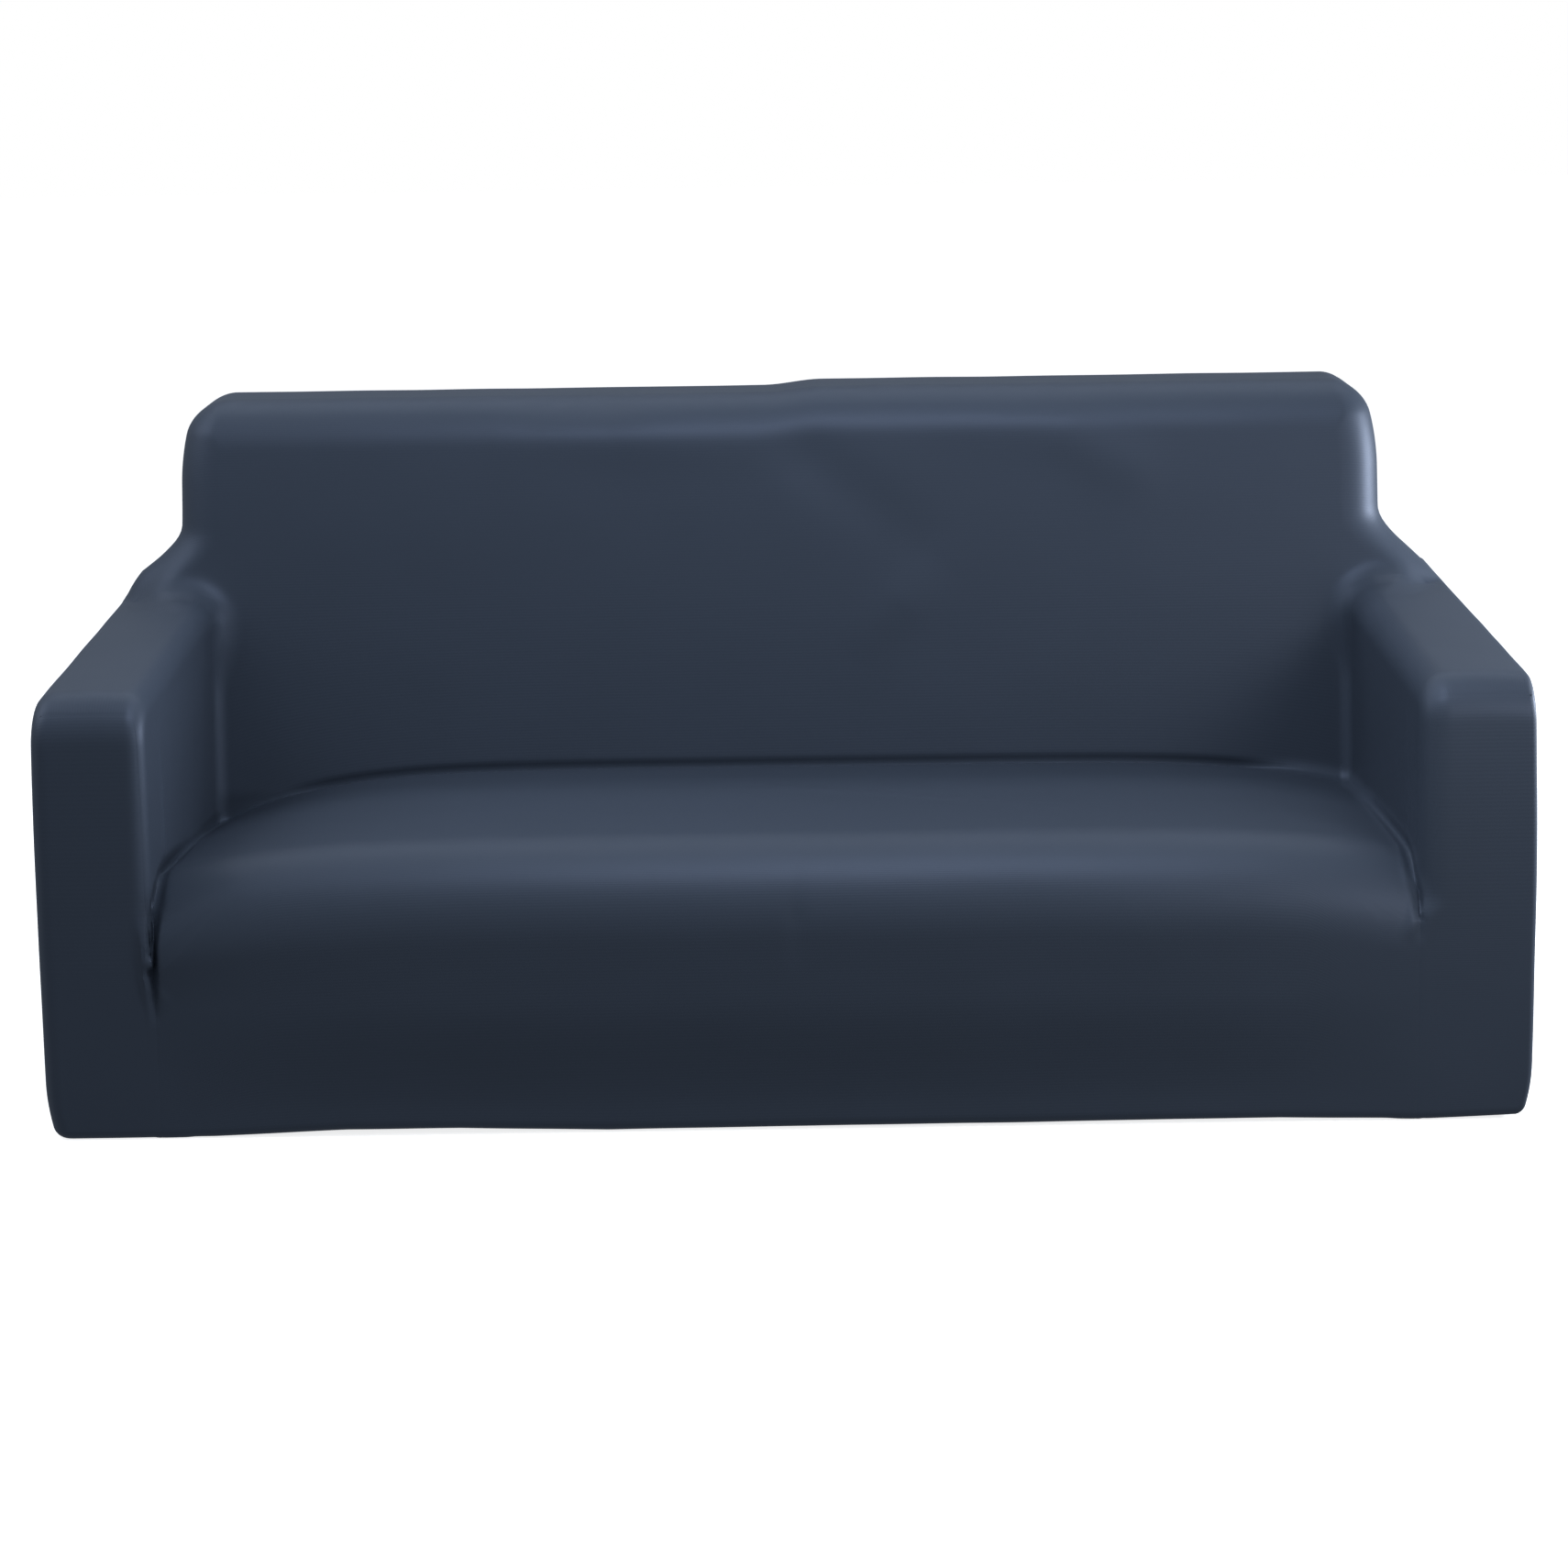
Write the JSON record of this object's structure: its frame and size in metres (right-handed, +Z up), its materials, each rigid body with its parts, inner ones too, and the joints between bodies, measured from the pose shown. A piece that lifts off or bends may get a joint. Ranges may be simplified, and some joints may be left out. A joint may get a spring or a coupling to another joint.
{
  "type": "sofa slipcover",
  "caption": "Fitted stretch knit slipcover for a sofa with arms: a hollow, one-piece sewn cover of seat, back and arm panels with an elastic hem turned under.",
  "frame": {"origin": "on the level of the hem's underside, below the middle of the cover's width and depth", "axes": "+Z up, +X to the right of someone facing the sofa, -Y towards the front of the seat"},
  "size_m": [1.812, 0.8732, 0.829],
  "materials": {
    "knit": "matt slate blue-grey stretch jersey knit"
  },
  "bodies": {
    "root": {"seat_and_front": "knit", "inside_back": "knit", "outside_back": "knit", "arm_left": "knit", "arm_right": "knit", "arm_front_left": "knit", "arm_front_right": "knit"}
  },
  "joints": []
}
